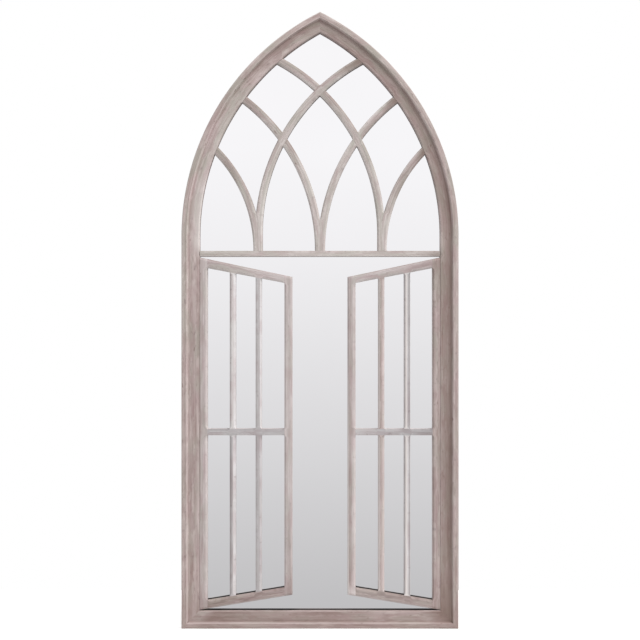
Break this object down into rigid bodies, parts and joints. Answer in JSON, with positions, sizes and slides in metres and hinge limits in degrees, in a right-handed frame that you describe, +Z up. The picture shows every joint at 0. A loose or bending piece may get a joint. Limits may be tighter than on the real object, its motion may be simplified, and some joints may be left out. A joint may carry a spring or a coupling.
{
  "type": "wall mirror",
  "caption": "Tall wall mirror in a pointed-arch wooden frame, with intersecting tracery and fixed slanted shutter lattices in front of the glass, hung by rings.",
  "frame": {"origin": "middle of the frame's underside, in the plane of the glass front", "axes": "+X to the right seen from the front, +Y towards the wall, +Z up"},
  "size_m": [0.808, 0.0488, 1.7988],
  "materials": {
    "frame_wood": "whitewashed, waxed",
    "lattice_wood": "whitewashed, waxed",
    "plywood": "sawn",
    "adhesive_pad": "foam",
    "zinc_steel": "zinc plated",
    "mirror": "silvered float glass",
    "hardboard": "pressed fibre",
    "bumper_rubber": "moulded, matt"
  },
  "bodies": {
    "frame": {"sill_rail": "frame_wood", "left_jamb": "frame_wood", "left_arch_rib": "frame_wood", "right_jamb": "frame_wood", "right_arch_rib": "frame_wood", "transom": "lattice_wood", "left_long_rib": "lattice_wood", "left_middle_rib": "lattice_wood", "left_short_rib": "lattice_wood", "left_hinge_stile": "lattice_wood", "left_free_stile": "lattice_wood", "left_top_rail": "lattice_wood", "left_mid_rail": "lattice_wood", "left_bottom_rail": "lattice_wood", "left_outer_bar": "lattice_wood", "left_inner_bar": "lattice_wood", "right_long_rib": "lattice_wood", "right_middle_rib": "lattice_wood", "right_short_rib": "lattice_wood", "right_hinge_stile": "lattice_wood", "right_free_stile": "lattice_wood", "right_top_rail": "lattice_wood", "right_mid_rail": "lattice_wood", "right_bottom_rail": "lattice_wood", "right_outer_bar": "lattice_wood", "right_inner_bar": "lattice_wood", "apex_tongue": "plywood", "left_corner_tongue": "plywood", "left_springing_tongue": "plywood", "right_corner_tongue": "plywood", "right_springing_tongue": "plywood", "tracery_pads": "adhesive_pad", "left_leaf_pads": "adhesive_pad", "right_leaf_pads": "adhesive_pad", "left_hanger_strap": "zinc_steel", "right_hanger_strap": "zinc_steel", "hanger_screws": "zinc_steel", "backing_screws": "zinc_steel", "mirror_glass": "mirror", "backing_board": "hardboard", "wall_bumpers": "bumper_rubber"},
    "left_ring": {"left_hanger_ring": "zinc_steel"},
    "right_ring": {"right_hanger_ring": "zinc_steel"}
  },
  "joints": [
    {"name": "left_ring_swing", "type": "hinge", "parent": "frame", "child": "left_ring", "pos_m": [-0.3865, 0.0141, 1.08], "axis": [1, 0, 0], "range_deg": [0, 180]},
    {"name": "right_ring_swing", "type": "hinge", "parent": "frame", "child": "right_ring", "pos_m": [0.3865, 0.0141, 1.08], "axis": [1, 0, 0], "range_deg": [0, 180]}
  ]
}
